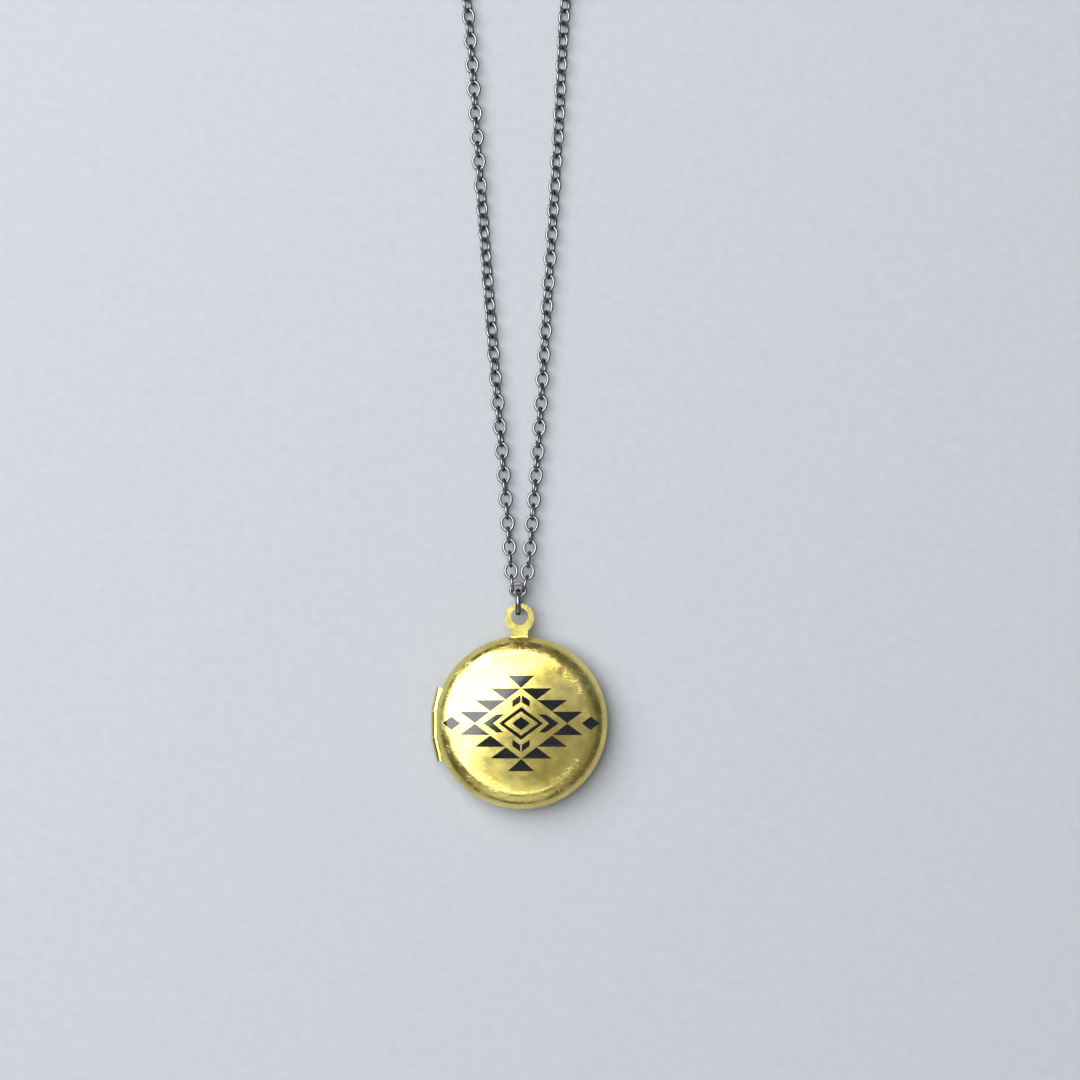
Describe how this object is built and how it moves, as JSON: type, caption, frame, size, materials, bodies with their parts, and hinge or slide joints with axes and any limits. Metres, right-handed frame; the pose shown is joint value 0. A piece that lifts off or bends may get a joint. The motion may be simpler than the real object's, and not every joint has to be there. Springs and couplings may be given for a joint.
{
  "type": "locket",
  "caption": "Round hinged brass locket with a black enamel motif, a bail and jump ring, on a fine dark link chain with a lever clasp.",
  "frame": {"origin": "centre of the flat on the back cover, on which the closed locket lies", "axes": "+Z out of the front cover, +Y from the case to the bail and chain, the hinge on the -X side"},
  "size_m": [0.0255, 0.1222, 0.0048],
  "materials": {
    "raw_brass": "satin, finely scratched",
    "black_enamel": "gloss",
    "gunmetal": "dark plated, polished",
    "clear_film": "clear",
    "blank_card": "matt paper"
  },
  "bodies": {
    "neck_chain": {"centre_link": "gunmetal", "chain_left": "gunmetal", "chain_right": "gunmetal", "chain_coil": "gunmetal", "clasp_body": "gunmetal", "clasp_rivet": "gunmetal", "clasp_spring": "gunmetal", "clasp_tail_ring": "gunmetal", "chain_end_ring": "gunmetal"},
    "jump_ring": {"jump_ring": "gunmetal"},
    "back": {"back_shell": "raw_brass", "catch_ring": "raw_brass", "back_frame_ring": "raw_brass", "back_film": "clear_film", "back_card": "blank_card", "middle_knuckle": "raw_brass", "hinge_pin": "raw_brass", "bail": "raw_brass"},
    "front": {"front_shell": "raw_brass", "enamel_motif": "black_enamel", "front_frame_ring": "raw_brass", "front_film": "clear_film", "front_card": "blank_card", "upper_knuckle": "raw_brass", "lower_knuckle": "raw_brass"},
    "lever": {"clasp_lever": "gunmetal"}
  },
  "joints": [
    {"name": "ring_swing", "type": "hinge", "parent": "neck_chain", "child": "jump_ring", "pos_m": [-0.00035, 0.01465, 0.0018], "axis": [1, 0, 0], "range_deg": [-40, 40]},
    {"name": "locket_swing", "type": "hinge", "parent": "jump_ring", "child": "back", "pos_m": [-0.0002, 0.01353, 0.0018], "axis": [1, 0, 0], "range_deg": [-90, 90]},
    {"name": "cover_hinge", "type": "hinge", "parent": "back", "child": "front", "pos_m": [-0.00978, -0.0002, 0.0022], "axis": [0, -1, 0], "range_deg": [0, 180]},
    {"name": "clasp_lever_press", "type": "hinge", "parent": "neck_chain", "child": "lever", "pos_m": [-0.001, 0.09865, 0.0009], "axis": [0, 0, 1], "range_deg": [0, 20], "stiffness_Nm_per_rad": 0.0005, "springref_deg": -5.73}
  ]
}
